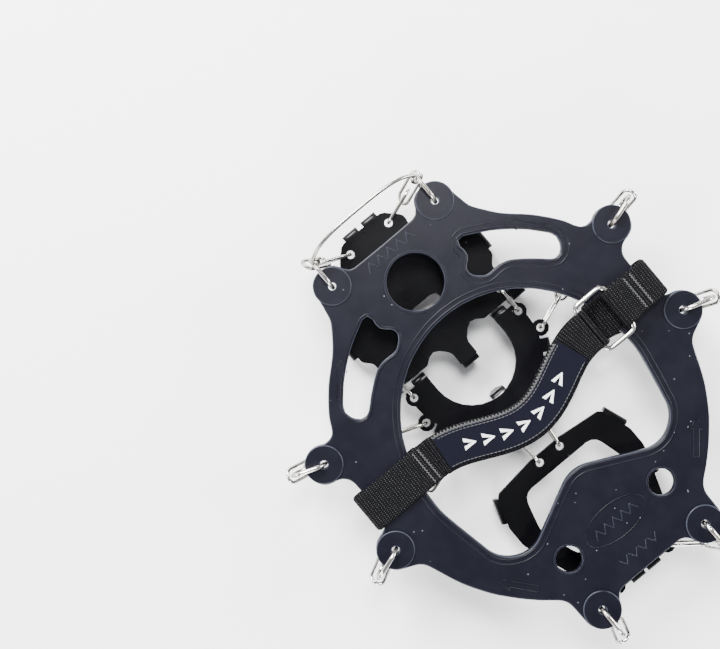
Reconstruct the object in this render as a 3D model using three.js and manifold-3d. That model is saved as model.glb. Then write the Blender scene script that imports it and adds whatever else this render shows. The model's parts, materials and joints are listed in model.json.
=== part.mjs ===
// Chain-and-plate traction device for hiking boots: a stretchy rubber harness
// with eight ringed eyelets, chain strands, three spiked plates, a lacing strap
// with its buckle, and a wire toe bail. Millimetres, +X right, +Y toe, +Z up.
// It stands on its spike tips with the harness lying flat above the plates.
import * as THREE from 'three';
import { mergeVertices } from 'three/addons/utils/BufferGeometryUtils.js';
import Module from 'manifold-3d';

const wasm = await Module();
wasm.setup();

// ---- driving dimensions ----
const PLATE_UNDER = 12;          // height of the spikes below the plates
const STEEL = 2;                 // plate thickness
const PLATES_X = -2.5;           // the plates lie a little to the left
const HARNESS_MID = 28.5;        // middle height of the rubber
const HARNESS_THICK = 3.6;
const BOSS_THICK = 5;
const BOSS_R = 8.75;
const HOLE_R = 2.4;
const LOBE_R = 8.3;              // rubber lobe under each eyelet boss
const BOSSES = {
  front: [30, 94.5, 90],         // x, y and outward heading on the right side
  toe_side: [84, 35.5, 0],
  heel_side: [84, -14.5, 0],
  rear: [30, -94.5, -90],
};
const RING_WIRE = 1.05;          // wire radius
const RING_END = 5.4;            // centreline radius of a ring's round ends
const RING_INSET = -0.8;         // ring's near end, from the hole's middle
const RING_REACH = 15.4;         // ring's far end, from the hole's middle
const LINK_LONG = 20;
const LINK_WIDE = 8.2;
const LINK_WIRE = 0.85;
const LINK_HOOK = 3.6;           // how far the last link's end lies past the ring
const LINK_HOLE_R = 2;           // link holes in the plates
const LUG_R = 4;                 // steel round a link hole
const SPIKE_TIP = 3;             // width of a spike's flat tip
const SPIKE_BEND = 2.6;          // bend radius of a spike
const WEB = 1.6;                 // webbing thickness
const GAP = 0.35;                // air between neighbouring layers
const STRAP_Y = 6;               // middle of the strap at both arms
const STRAP_BOW = 13;            // how far the strap bows back between them
const STRAP_SPAN = 44;           // half the length that bows
const STRAP_WIDE = 18.6;
const BUCKLE_Z = 36;
const BUCKLE = { inner: 45.2, outer: 61.6, half: 12.2, wire: 1.15, corner: 3 };

const PLATE_MID = PLATE_UNDER + STEEL / 2;
const rad = THREE.MathUtils.degToRad;
const v2 = (x, y) => new THREE.Vector2(x, y);
const v3 = (x, y, z) => new THREE.Vector3(x, y, z);

// ---- materials ----
const steelWire = new THREE.MeshStandardMaterial({ color: 0xc9c8c4, roughness: 0.2, metalness: 1 });
const blackSteel = new THREE.MeshStandardMaterial({ color: 0x0c0c0f, roughness: 0.3, metalness: 0.4 });
const rubber = new THREE.MeshStandardMaterial({ color: 0x23262f, roughness: 0.5, metalness: 0 });
const webbing = new THREE.MeshStandardMaterial({ color: 0x101012, roughness: 0.9, metalness: 0 });
const labelCloth = new THREE.MeshStandardMaterial({ color: 0x1a1c2c, roughness: 0.8, metalness: 0 });

// ---- solids ----
function solidOf(geometry) {
  const bare = geometry.index ? geometry.toNonIndexed() : geometry.clone();
  bare.deleteAttribute('normal');
  bare.deleteAttribute('uv');
  const merged = mergeVertices(bare, 1e-4);
  return new wasm.Manifold(new wasm.Mesh({
    numProp: 3,
    vertProperties: Float32Array.from(merged.attributes.position.array),
    triVerts: Uint32Array.from(merged.index.array),
  }));
}

function geometryOf(solid) {
  const mesh = solid.getMesh();
  const geometry = new THREE.BufferGeometry();
  geometry.setAttribute('position', new THREE.BufferAttribute(mesh.vertProperties, 3));
  geometry.setIndex(new THREE.BufferAttribute(mesh.triVerts, 1));
  geometry.computeVertexNormals();
  return geometry;
}

function disc(x, y, low, high, radius, sides = 20) {
  const geometry = new THREE.CylinderGeometry(radius, radius, high - low, sides);
  geometry.rotateX(Math.PI / 2);
  geometry.translate(x, y, (low + high) / 2);
  return solidOf(geometry);
}

// ---- outlines ----
// A closed outline from corner points [x, y, corner radius].
function rounded(corners, step = 3.2) {
  const points = [];
  corners.forEach(([x, y, radius], i) => {
    const here = v2(x, y);
    const before = v2(...corners.at(i - 1)).sub(here);
    const after = v2(...corners[(i + 1) % corners.length]).sub(here);
    const half = before.angleTo(after) / 2;
    const room = Math.min(before.length(), after.length()) * 0.49;
    const reach = Math.min(radius / Math.tan(half), room);
    const r = reach * Math.tan(half);
    if (r < 0.05) {
      points.push(here);
      return;
    }
    const a = before.setLength(reach).add(here);
    const b = after.setLength(reach).add(here);
    const middle = a.clone().add(b).multiplyScalar(0.5);
    const centre = middle.sub(here).setLength(Math.hypot(r, reach)).add(here);
    const from = Math.atan2(a.y - centre.y, a.x - centre.x);
    let turn = Math.atan2(b.y - centre.y, b.x - centre.x) - from;
    turn = Math.atan2(Math.sin(turn), Math.cos(turn));
    const wanted = Math.min(5, Math.abs(turn) * r / step, Math.abs(turn) / 0.16);
    const steps = Math.max(1, Math.ceil(wanted));
    for (let k = 0; k <= steps; k++) {
      const angle = from + turn * k / steps;
      points.push(v2(centre.x + r * Math.cos(angle), centre.y + r * Math.sin(angle)));
    }
  });
  return points.filter((p, i) => p.distanceTo(points.at(i - 1)) > 0.02);
}

const onCircle = (radius, deg, corner, x = 0, y = 0) =>
  [x + radius * Math.cos(rad(deg)), y + radius * Math.sin(rad(deg)), corner];

// Corners whose roundings together trace a circle between two directions.
function lobe(x, y, radius, from, to, count) {
  const step = (to - from) / count;
  return Array.from({ length: count }, (_, i) =>
    onCircle(radius / Math.cos(rad(step / 2)), from + step * (i + 0.5), radius, x, y));
}

const mirrored = (corners) => corners.map(([x, y, r]) => [-x, y, r]).reverse();
const bothSides = (corners) => [...corners, ...mirrored(corners)];

function slab(outline, low, high, holes = []) {
  const options = { depth: high - low, bevelEnabled: false };
  const geometry = new THREE.ExtrudeGeometry(new THREE.Shape(outline), options);
  geometry.translate(0, 0, low);
  const solid = solidOf(geometry);
  return holes.reduce((left, hole) => left.subtract(slab(hole, low - 1, high + 1)), solid);
}

function circlePoints(x, y, radius, sides = 20) {
  return Array.from({ length: sides }, (_, i) => {
    const [px, py] = onCircle(radius, i * 360 / sides, 0, x, y);
    return v2(px, py);
  });
}

// ---- assembly ----
const part = new THREE.Group();

function add(name, geometry, material, parent = part) {
  const mesh = new THREE.Mesh(geometry, material);
  mesh.name = name;
  parent.add(mesh);
  return mesh;
}

// ---- rubber harness ----
const HARNESS_OUTER = bothSides([
  [19.8, 94.5, 5],
  ...lobe(30, 94.5, LOBE_R, 165, 10, 2),
  [40.5, 83, 9],
  onCircle(86.5, 56, 60), onCircle(86, 46, 60), onCircle(85.5, 36, 60),
  [73, 41.5, 7],
  ...lobe(84, 35.5, LOBE_R, 100, -85, 2),
  [79, 25, 7],
  [79, -4, 7],
  ...lobe(84, -14.5, LOBE_R, 85, -75, 2),
  [78.5, -27, 9],
  onCircle(84.5, -33, 60), onCircle(86, -43, 60), onCircle(88, -54, 60),
  [39.5, -81.5, 9],
  ...lobe(30, -94.5, LOBE_R, 5, -160, 2),
  [19.5, -92.7, 6],
]);

const TONGUE = [0, -36.4, 17];
const WINDOW_SIDE = [
  onCircle(55.3, 81, 50, 0, -3), onCircle(55.3, 63, 50, 0, -3), onCircle(55.3, 45, 50, 0, -3),
  onCircle(55.5, 28, 50, 0, -3), onCircle(56.5, 10, 50, 0, -3),
  [57.5, -14, 40],
  ...lobe(37, -38, 15, -8, -115, 2),
];
const WINDOW = [...WINDOW_SIDE, TONGUE, ...mirrored(WINDOW_SIDE)];

const SLOT = [
  [24.6, 76.6, 6],
  onCircle(79.6, 58, 60), onCircle(79.2, 47, 60),
  onCircle(78.6, 37, 5), onCircle(68.5, 33, 5),
  onCircle(66.2, 45, 60), onCircle(65.6, 56, 50),
  [26, 53.8, 6], [19, 60.6, 6], [26.6, 66, 5],
];

const toPath = (corners) => rounded(corners);

function harness() {
  const low = HARNESS_MID - HARNESS_THICK / 2;
  const high = HARNESS_MID + HARNESS_THICK / 2;
  const holes = [
    toPath(WINDOW), toPath(SLOT), toPath(mirrored(SLOT)), circlePoints(0, 72, 13, 28),
    circlePoints(27, -67.6, 6), circlePoints(-27, -67.6, 6),
  ];
  let solid = slab(toPath(HARNESS_OUTER), low, high, holes);
  for (const side of [-1, 1]) {
    for (const [x, y] of Object.values(BOSSES)) {
      const base = HARNESS_MID - BOSS_THICK / 2;
      const top = HARNESS_MID + BOSS_THICK / 2;
      solid = solid.add(disc(side * x, y, base, top, BOSS_R, 22));
      solid = solid.subtract(disc(side * x, y, base - 1, top + 1, HOLE_R, 10));
    }
  }
  return geometryOf(solid);
}
add('harness', harness(), rubber);

// ---- wire loops ----
// A closed racetrack in the local XY plane, long way along Y.
class Racetrack extends THREE.Curve {
  constructor(near, far, radius) {
    super();
    Object.assign(this, { near, far, radius, round: Math.PI * radius });
    this.run = far - near - 2 * radius;
  }

  getPoint(t, target = new THREE.Vector3()) {
    const { near, far, radius, round, run } = this;
    let s = (t % 1) * 2 * (round + run);
    const side = s < round + run ? 1 : -1;
    s -= side < 0 ? round + run : 0;
    if (s < run) {
      const y = side > 0 ? near + radius + s : far - radius - s;
      return target.set(side * radius, y, 0);
    }
    const angle = (s - run) / radius;
    const middle = side > 0 ? far - radius : near + radius;
    return target.set(side * radius * Math.cos(angle), middle + side * radius * Math.sin(angle), 0);
  }
}

function wireLoop(near, far, radius, wire, steps) {
  const loop = new THREE.TubeGeometry(new Racetrack(near, far, radius), steps, wire, 6, true);
  return geometryOf(solidOf(loop));
}

const linkShape = (long) => {
  const half = long / 2 - LINK_WIRE;
  return wireLoop(-half, half, LINK_WIDE / 2 - LINK_WIRE, LINK_WIRE, 16);
};

// ---- boss rings and chain strands ----
// Each ring stands upright through its eyelet, over the rim of the boss. From
// a plate hole a strand of links climbs to a grip point on the ring's far end.
// A strand is a group whose X is its hinge; long strands take a ring in tow, so
// that ring points along the strand.
const STRANDS = {
  front: { hole: [11.5, 101], grip: -50, links: 2, overlap: 7, turn: 0.5 },
  toe_side: { hole: [34.5, 18.5], grip: -6, links: 5, climb: [16, 64] },
  heel_side: { hole: [25.6, 3.9], grip: -6, links: 6, climb: [16, 64] },
  rear: { hole: [15, -96.3], grip: -36, links: 2, overlap: 2.8, turn: 0.66 },
};
const FIRST_SLOPE = 10;
const REACH = LINK_LONG - 2 * LINK_WIRE;
const sideNames = { 1: 'right', '-1': 'left' };
const ringShape = wireLoop(RING_INSET, RING_REACH, RING_END, RING_WIRE, 18);
ringShape.rotateY(Math.PI / 2);
const inSlope = (length, deg) => v2(length * Math.cos(rad(deg)), length * Math.sin(rad(deg)));

// End points of each link in the strand's own side view: along, then up.
function longRun(length, rise, links, [run, slope]) {
  const up = Math.tan(rad(slope));
  const end = v2(length, rise).add(inSlope(LINK_HOOK, slope));
  const route = new THREE.CubicBezierCurve(
    v2(0, 0), v2((length - run) * 0.6, 0), v2(length - run, rise - run * up), end);
  const total = route.getLength();
  const pitch = (total - REACH) / (links - 1);
  return Array.from({ length: links }, (_, i) => {
    const a = route.getPointAt(i * pitch / total);
    const b = route.getPointAt(Math.min(1, (i * pitch + REACH) / total));
    return [a, b.sub(a).setLength(REACH).add(a)];
  });
}

function shortRun(length, rise, overlap) {
  const first = [v2(0, 0), inSlope(REACH, FIRST_SLOPE)];
  const from = inSlope(REACH - overlap, FIRST_SLOPE);
  const to = v2(length, rise).sub(from).setLength(REACH).add(from);
  return [first, [from, to]];
}

// The roll that turns a link's width square to the ring wire it goes round.
function lastRoll([a, b], turn, tangent) {
  const slope = Math.atan2(b.y - a.y, b.x - a.x);
  const local = tangent.clone().applyAxisAngle(v3(0, 0, 1), -turn);
  const along = v3(0, Math.cos(slope), Math.sin(slope));
  const width = along.cross(local).applyAxisAngle(v3(1, 0, 0), -slope);
  return Math.atan(-width.z / width.x);
}

function strandRolls(links, last) {
  const target = Math.PI / 2 * (links - 1);
  const turns = Math.round((target - (last - Math.PI / 2)) / Math.PI);
  const step = (last - Math.PI / 2 + turns * Math.PI) / (links - 1);
  return Array.from({ length: links }, (_, i) => Math.PI / 2 + i * step);
}

function ringAndStrand(place, side) {
  const [x, y, deg] = BOSSES[place];
  const { hole, grip, links, climb, overlap, turn: share = 1 } = STRANDS[place];
  const boss = v3(side * x, y, HARNESS_MID);
  const start = v3(PLATES_X + side * hole[0], hole[1], PLATE_MID);
  const facing = climb ? Math.atan2(boss.y - start.y, boss.x - start.x) : rad(side > 0 ? deg : 180 - deg);
  const ring = add(`ring_${place}_${sideNames[side]}`, ringShape.clone(), steelWire);
  ring.position.copy(boss);
  ring.rotation.z = facing - Math.PI / 2;

  const up = v3(0, 0, 1);
  const out = RING_REACH - RING_END + RING_END * Math.cos(rad(grip));
  const gripPoint = v3(out, 0, RING_END * Math.sin(rad(grip))).applyAxisAngle(up, facing).add(boss);
  const tangent = v3(-Math.sin(rad(grip)), 0, Math.cos(rad(grip))).applyAxisAngle(up, facing);
  const along = gripPoint.clone().sub(start);
  const turn = Math.atan2(along.y, along.x) - Math.PI / 2;
  const length = Math.hypot(along.x, along.y);
  const ends = climb ? longRun(length, along.z, links, climb) : shortRun(length, along.z, overlap);
  const rolls = strandRolls(links, share * lastRoll(ends.at(-1), turn, tangent));
  const group = new THREE.Group();
  group.name = `strand_${place}_${sideNames[side]}`;
  group.position.copy(start);
  group.rotation.z = turn;
  part.add(group);
  ends.forEach(([a, b], i) => {
    const link = add(`link_${place}_${sideNames[side]}_${i + 1}`, linkShape(LINK_LONG), steelWire, group);
    link.position.set(0, (a.x + b.x) / 2, (a.y + b.y) / 2);
    link.rotation.set(Math.atan2(b.y - a.y, b.x - a.x), rolls[i], 0);
  });
}
for (const place of Object.keys(STRANDS)) {
  for (const side of [1, -1]) ringAndStrand(place, side);
}

// ---- links between the plates ----
const PLATE_LINKS = {
  link_toe_ball: { from: [31.5, 31], to: [31.5, 44.5] },
  link_ball_heel: { from: [6, -29.5], to: [9, -3.5] },
};
for (const [name, { from, to }] of Object.entries(PLATE_LINKS)) {
  for (const side of [1, -1]) {
    const a = v2(PLATES_X + side * from[0], from[1]);
    const b = v2(PLATES_X + side * to[0], to[1]);
    const gap = a.distanceTo(b);
    const link = add(`${name}_${sideNames[side]}`, linkShape(gap + 2 * LINK_WIRE), steelWire);
    link.position.set((a.x + b.x) / 2, (a.y + b.y) / 2, PLATE_MID);
    link.rotation.set(0, Math.PI / 2, Math.atan2(b.y - a.y, b.x - a.x) - Math.PI / 2, 'ZXY');
  }
}

// ---- spiked plates ----
function spike(x, y, deg, width) {
  const top = PLATE_UNDER + STEEL;
  const outer = SPIKE_BEND;
  const inner = SPIKE_BEND - STEEL;
  const profile = new THREE.Shape();
  profile.moveTo(-2.5, top);
  profile.lineTo(0, top);
  profile.absarc(0, top - outer, outer, Math.PI / 2, 0, true);
  profile.lineTo(outer, 0);
  profile.lineTo(inner, 0);
  profile.lineTo(inner, PLATE_UNDER - inner);
  profile.lineTo(0, PLATE_UNDER);
  profile.lineTo(-2.5, PLATE_UNDER);
  const strip = new THREE.ExtrudeGeometry(profile, { depth: width, bevelEnabled: false, curveSegments: 3 });
  strip.translate(0, 0, -width / 2);
  strip.rotateX(Math.PI / 2);
  const taper = new THREE.Shape([
    v2(-width / 2, 20), v2(-width / 2, PLATE_UNDER - 3), v2(-SPIKE_TIP / 2, 0), v2(-SPIKE_TIP / 2, -1),
    v2(SPIKE_TIP / 2, -1), v2(SPIKE_TIP / 2, 0), v2(width / 2, PLATE_UNDER - 3), v2(width / 2, 20),
  ]);
  const wedge = new THREE.ExtrudeGeometry(taper, { depth: 20, bevelEnabled: false });
  wedge.translate(0, 0, -10);
  wedge.rotateX(Math.PI / 2);
  wedge.rotateZ(Math.PI / 2);
  const solid = geometryOf(solidOf(strip).intersect(solidOf(wedge)));
  solid.rotateZ(rad(deg));
  solid.translate(x, y, 0);
  return solidOf(solid);
}

function plate(name, outline, { holes = [], cuts = [], lugs = [], spikes }) {
  const low = PLATE_UNDER;
  const high = PLATE_UNDER + STEEL;
  let solid = slab(outline, low, high, cuts.map((cut) => rounded(cut)));
  for (const side of [-1, 1]) {
    for (const [x, y] of lugs) solid = solid.add(disc(side * x, y, low, high, LUG_R, 12));
  }
  for (const [x, y, deg, width] of spikes) {
    solid = solid.add(spike(x, y, deg, width));
    if (x > 0) solid = solid.add(spike(-x, y, 180 - deg, width));
  }
  for (const side of [-1, 1]) {
    for (const [x, y] of holes) {
      solid = solid.subtract(disc(side * x, y, low - 1, high + 1, LINK_HOLE_R, 10));
    }
  }
  const mesh = add(name, geometryOf(solid), blackSteel);
  mesh.position.x = PLATES_X;
}

const TOE_OUTLINE = bothSides([
  [12, 107, 3], [19.5, 99.5, 4], [17.5, 89, 8], [39.5, 76, 4], [39.5, 59, 2],
  [35.5, 55, 4], [36, 49, 6], [42.5, 45, 3], [41, 38.5, 2.5], [17.2, 38.5, 1.5],
  [11, 43, 5], [4.7, 36, 3], [4.7, 28.5, 0.6],
]);
plate('toe_plate', rounded(TOE_OUTLINE), {
  cuts: [bothSides([[8, 63, 3], [8, 55.5, 3]])],
  lugs: [[11.5, 101]],
  holes: [[11.5, 101], [31.5, 44.5]],
  spikes: [[5.5, 107, 90, 8], [39.5, 67, 0, 10], [37, 38.5, -90, 7], [0, 28.5, -90, 8.4]],
});

const BALL_Y = 27;
const BALL_OUTER = 33.5;
const BALL_INNER = 20.5;
const PRONG_Y = 35;
const arc = (radius, from, to, count) => Array.from({ length: count + 1 }, (_, i) =>
  v2(...onCircle(radius, from + (to - from) * i / count, 0, 0, BALL_Y)));
const ballOutline = [
  v2(-BALL_INNER, PRONG_Y), v2(-BALL_OUTER, PRONG_Y), ...arc(BALL_OUTER, 180, 360, 20),
  v2(BALL_OUTER, PRONG_Y), v2(BALL_INNER, PRONG_Y), ...arc(BALL_INNER, 0, -180, 14),
];
plate('ball_plate', ballOutline, {
  lugs: [[31.5, 31], [34.5, 18.5], [25.6, 3.9], [9, -3.5]],
  holes: [[31.5, 31], [34.5, 18.5], [25.6, 3.9], [9, -3.5]],
  spikes: [[24.2, PRONG_Y, 90, 7.4], [31.2, 10.9, -29, 6.5], [0, -6.3, -90, 8], [0, 6.3, 90, 8]],
});

plate('heel_plate', rounded(bothSides([
  [9, -26, 6], [31, -28.5, 2], [36.5, -44, 3], [36.5, -54, 6], [29.5, -74, 8],
  [24, -90, 5], [17.5, -98.5, 3],
])), {
  cuts: [bothSides([[21, -36, 6], [26, -54, 8], [18.5, -76, 8]])],
  holes: [[6, -29.5], [15, -96.3]],
  lugs: [[15, -96.3]],
  spikes: [[33.6, -35.8, 20, 12], [33.4, -63, -19, 9], [4.6, -98.5, -90, 7.5]],
});

// ---- webbing ----
const bow = (x) => {
  const t = Math.min(1, Math.abs(x) / STRAP_SPAN);
  return STRAP_Y - STRAP_BOW * (0.5 + 0.5 * Math.cos(Math.PI * t));
};

// A band of webbing along a route of [x, z] points, following the strap's bow.
function band(route, width, thick) {
  const points = route.map(([x, z]) => v2(x, z));
  const position = [];
  points.forEach((p, i) => {
    const a = points[Math.max(0, i - 1)];
    const b = points[Math.min(points.length - 1, i + 1)];
    const before = p.clone().sub(a).normalize();
    const after = b.clone().sub(p).normalize();
    const along = before.add(after).normalize();
    const n = v2(-along.y, along.x).multiplyScalar(thick / 2);
    for (const [up, side] of [[1, -1], [1, 1], [-1, 1], [-1, -1]]) {
      const x = p.x + up * n.x;
      position.push(x, bow(x) + side * width / 2, p.y + up * n.y);
    }
  });
  const index = [0, 1, 2, 0, 2, 3];
  for (let i = 0; i + 1 < points.length; i++) {
    for (let k = 0; k < 4; k++) {
      const a = 4 * i + k;
      const b = 4 * i + (k + 1) % 4;
      index.push(a, a + 4, b, b, a + 4, b + 4);
    }
  }
  const last = position.length / 3 - 4;
  index.push(last, last + 2, last + 1, last, last + 3, last + 2);
  const geometry = new THREE.BufferGeometry();
  geometry.setAttribute('position', new THREE.Float32BufferAttribute(position, 3));
  geometry.setIndex(index);
  return geometryOf(solidOf(geometry));
}

// Points on an arc in the strap's side view.
const bend = (x, z, radius, from, to, count) =>
  Array.from({ length: count + 1 }, (_, i) => onCircle(radius, from + (to - from) * i / count, 0, x, z)
    .slice(0, 2));

const ARM = { inner: 54.5, outer: 81.8, half: 3.1 };   // space the webbing keeps round an arm
const FOLD_R = 2.6;              // the strap's fold round the buckle bar
const LOOP_R = 2.5;              // the loop's fold round the outer bar
const archZ = (x) => 31.9 + 3.6 * Math.cos(Math.PI * (x - 6) / 124) ** 2;

// The lacing strap: sewn round the left arm, over the gap, through the buckle.
function strapRoute() {
  const over = [];
  for (let x = -50; x <= 38; x += 8) over.push([x, archZ(x)]);
  return [
    [-41, archZ(-41) - WEB - GAP], [-47, archZ(-47) - WEB - GAP],
    ...bend(-ARM.inner + 1.5, HARNESS_MID - 0.2, 2.6, 20, -90, 3).map(([x, z]) => [x + 1.6, z - 0.4]),
    ...bend(-ARM.outer + 1.2, HARNESS_MID, ARM.half, 270, 90, 5),
    ...over,
    ...bend(BUCKLE.inner, BUCKLE_Z, FOLD_R, -90, 90, 6),
  ];
}
add('lacing_strap', band(strapRoute(), STRAP_WIDE, WEB), webbing);

// The strap's free end lies back over it; it hinges at the top of the fold.
const FOLD_TOP = BUCKLE_Z + FOLD_R;
const tailZ = (x) => {
  const t = THREE.MathUtils.clamp((BUCKLE.inner - x) / 14, 0, 1);
  const level = archZ(x) + WEB + GAP;
  return FOLD_TOP + (level - FOLD_TOP) * t * t * (3 - 2 * t);
};
const TAIL = { from: BUCKLE.inner - 1, to: -43, pivotZ: FOLD_TOP + WEB / 2 };

function layer(from, to, lift, width, thick, steps) {
  const route = Array.from({ length: steps + 1 }, (_, i) => {
    const x = from + (to - from) * i / steps;
    return [x, tailZ(x) + lift];
  });
  const geometry = band(route.reverse(), width, thick);
  geometry.translate(-TAIL.from, -bow(TAIL.from), -TAIL.pivotZ);
  return geometry;
}

const tail = new THREE.Group();
tail.name = 'tail_pivot';
tail.position.set(TAIL.from, bow(TAIL.from), TAIL.pivotZ);
tail.rotation.z = Math.PI / 2;
part.add(tail);
const unturned = (geometry) => geometry.rotateZ(-Math.PI / 2);
add('strap_tail', unturned(layer(TAIL.from, TAIL.to, 0, STRAP_WIDE, WEB, 16)), webbing, tail);
const labelLift = WEB / 2 + 0.3 + 0.4;
add('woven_label', unturned(layer(34, -41, labelLift, 15.5, 0.8, 14)), labelCloth, tail);

// The buckle's loop: sewn round the right arm and round the buckle's outer bar.
function loopRoute() {
  const first = HARNESS_MID + ARM.half;
  const sleeve = BUCKLE_Z - LOOP_R;
  const over = sleeve + WEB + GAP;
  return [
    [72, first], [64, first],
    ...bend(ARM.inner - 1.5, HARNESS_MID, ARM.half, 90, 270, 5),
    ...bend(ARM.outer - 1.2, HARNESS_MID, ARM.half, -90, 20, 4),
    [ARM.outer + 1.2, over - 2.4], [ARM.outer - 1.8, over - 0.3], [74, over], [68, over + 0.4],
    [65, BUCKLE_Z + 1.9],
    ...bend(BUCKLE.outer, BUCKLE_Z, LOOP_R, 90, 270, 6),
    [69, sleeve],
  ];
}
add('buckle_loop', band(loopRoute(), STRAP_WIDE, WEB), webbing);

// Rectangular wire buckle with round corners, hinged on its outer bar.
class RoundedFrame extends THREE.Curve {
  constructor(points) {
    super();
    this.points = points;
  }

  getPoint(t, target = new THREE.Vector3()) {
    const n = this.points.length;
    const s = (t % 1) * n;
    const p = this.points[Math.floor(s) % n].clone().lerp(this.points[(Math.floor(s) + 1) % n], s % 1);
    return target.set(p.x, p.y, 0);
  }
}

function buckle() {
  const { inner, outer, half, wire, corner } = BUCKLE;
  const low = inner - outer;
  const corners = [[0, half], [0, -half], [low, -half], [low, half]];
  const outline = rounded(corners.map(([x, y]) => [x, y, corner]), 1.2);
  const closed = new THREE.TubeGeometry(new RoundedFrame(outline), outline.length, wire, 8, true);
  return geometryOf(solidOf(closed));
}
const buckleMesh = add('buckle', buckle(), steelWire);
buckleMesh.position.set(BUCKLE.outer, STRAP_Y, BUCKLE_Z);

// ---- toe bail ----
// A thin wire whose hooked ends ride on the far ends of the two front rings.
const BAIL = { wire: 0.85, eye: 2.6, bulge: 10, lift: 59 };

function bail() {
  const [x, y] = BOSSES.front;
  const reach = RING_END;
  const half = [];
  for (let deg = 100; deg <= 340; deg += 30) half.push(onCircle(BAIL.eye, deg, 0, x, reach).slice(0, 2));
  half.reverse();
  const right = [...half, [23, reach + BAIL.bulge * 0.75], [11, reach + BAIL.bulge]];
  const points = [...right, ...right.map(([px, py]) => [-px, py]).reverse()];
  const route = new THREE.CatmullRomCurve3(points.map(([px, py]) => v3(px, py, 0)), false, 'centripetal');
  const section = new THREE.Shape(circlePoints(0, 0, BAIL.wire, 6));
  const wire = new THREE.ExtrudeGeometry(section, { steps: 40, extrudePath: route, bevelEnabled: false });
  const mesh = add('toe_bail', geometryOf(solidOf(wire)), steelWire);
  mesh.position.set(0, y + RING_REACH - RING_END, HARNESS_MID);
  mesh.rotation.x = rad(BAIL.lift);
}
bail();

// ---- origin: middle of the footprint, at the spike tips ----
const box = new THREE.Box3().setFromObject(part, true);
part.position.set(-(box.min.x + box.max.x) / 2, -(box.min.y + box.max.y) / 2, -box.min.z);
part.updateMatrixWorld(true);

export default part;
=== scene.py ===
# %% [markdown]
# # Boot microspikes
# A stretchy rubber harness with eyelet rings carries chains and three spiked steel
# plates under a boot. A webbing strap laces the two arms of the harness together.
# The imported CAD model gives the sizes and places, except that wire is drawn a few
# hundredths of a millimetre thinner and the eyelet holes are drawn tighter. Each
# cell below dresses one part of it.

# %% Load the frame
import json
import math

import bmesh
import bpy
import numpy as np
from mathutils import Matrix, Vector


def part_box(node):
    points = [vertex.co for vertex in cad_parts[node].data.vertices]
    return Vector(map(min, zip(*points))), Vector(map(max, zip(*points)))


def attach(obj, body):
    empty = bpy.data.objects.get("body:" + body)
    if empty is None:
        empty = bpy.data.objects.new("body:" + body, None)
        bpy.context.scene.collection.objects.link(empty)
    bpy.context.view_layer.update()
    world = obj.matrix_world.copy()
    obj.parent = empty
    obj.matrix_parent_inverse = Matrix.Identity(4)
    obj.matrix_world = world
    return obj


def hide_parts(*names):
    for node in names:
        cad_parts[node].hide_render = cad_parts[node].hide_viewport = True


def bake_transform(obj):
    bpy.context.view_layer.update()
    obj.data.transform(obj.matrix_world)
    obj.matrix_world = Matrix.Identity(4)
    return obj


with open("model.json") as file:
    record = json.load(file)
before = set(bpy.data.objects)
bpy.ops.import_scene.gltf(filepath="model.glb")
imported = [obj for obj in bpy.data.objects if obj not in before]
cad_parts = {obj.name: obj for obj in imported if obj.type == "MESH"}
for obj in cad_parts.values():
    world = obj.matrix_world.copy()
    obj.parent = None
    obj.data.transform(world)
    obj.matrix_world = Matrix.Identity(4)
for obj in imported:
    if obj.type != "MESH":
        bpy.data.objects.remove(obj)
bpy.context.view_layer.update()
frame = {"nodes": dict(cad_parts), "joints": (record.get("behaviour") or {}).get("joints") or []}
MM = 0.001
joints = {j["name"]: j for j in frame["joints"]}
nodes = frame["nodes"]

# %% [markdown]
# The design's own origin lies at the middle of the harness. One known point, the
# outer bar of the buckle, ties design millimetres to the frame's metres.

# %% Places in design millimetres
BUCKLE_BAR = Vector((61.6, 6, 36))
SHIFT = Vector(joints["buckle_swing"]["pos_m"]) - BUCKLE_BAR * MM


def at(x, y, z):
    return Vector((x, y, z)) * MM + SHIFT


HARNESS_LOW, HARNESS_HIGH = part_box("harness")
HARNESS_MID = (HARNESS_LOW.z + HARNESS_HIGH.z) / 2
RUBBER_HALF = 1.8 * MM
TOP = HARNESS_MID + RUBBER_HALF
SIDES = {"right": 1, "left": -1}
PLACES = ("front", "toe_side", "heel_side", "rear")
print("harness middle", round(HARNESS_MID, 4))

# %% [markdown]
# The camera looks straight down, turned so the toe points to the lower left. It is
# set before anything else is made, so every piece is judged in the same view.

# %% Camera
VIEW_WIDTH = 0.324
VIEW_HEIGHT = 0.47
SENSOR = 36
RIGHT = Vector((0.7672, -0.6415, 0))
UP = Vector((0.6415, 0.7672, 0))
AIM = at(0, 0, 0).xy.to_3d() - RIGHT * 0.0711 + UP * 0.0361

camera_data = bpy.data.cameras.new("camera")
camera_data.sensor_width = SENSOR
camera_data.lens = SENSOR * VIEW_HEIGHT / VIEW_WIDTH
camera = bpy.data.objects.new("camera", camera_data)
bpy.context.scene.collection.objects.link(camera)
camera.matrix_world = Matrix((RIGHT, UP, Vector((0, 0, 1)))).transposed().to_4x4()
camera.location = AIM + Vector((0, 0, HARNESS_MID + VIEW_HEIGHT))
bpy.context.scene.camera = camera
print("camera", tuple(round(v, 3) for v in camera.location))

# %% [markdown]
# A pale floor and large lamps give soft light. Four lamps stand round the part and
# make the wire sparkle. A fifth hangs higher, towards the front right, so that the
# rubber is brighter at the front than at the heel.

# %% Floor and lights


def lamp(name, place, size, power, target=(0, 0, 0)):
    data = bpy.data.lights.new(name, "AREA")
    data.shape = "DISK"
    data.size = size
    data.energy = power
    lamp_object = bpy.data.objects.new(name, data)
    lamp_object.location = place
    aim = Vector(target) - Vector(place)
    lamp_object.rotation_euler = aim.to_track_quat("-Z", "Y").to_euler()
    bpy.context.scene.collection.objects.link(lamp_object)


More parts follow.
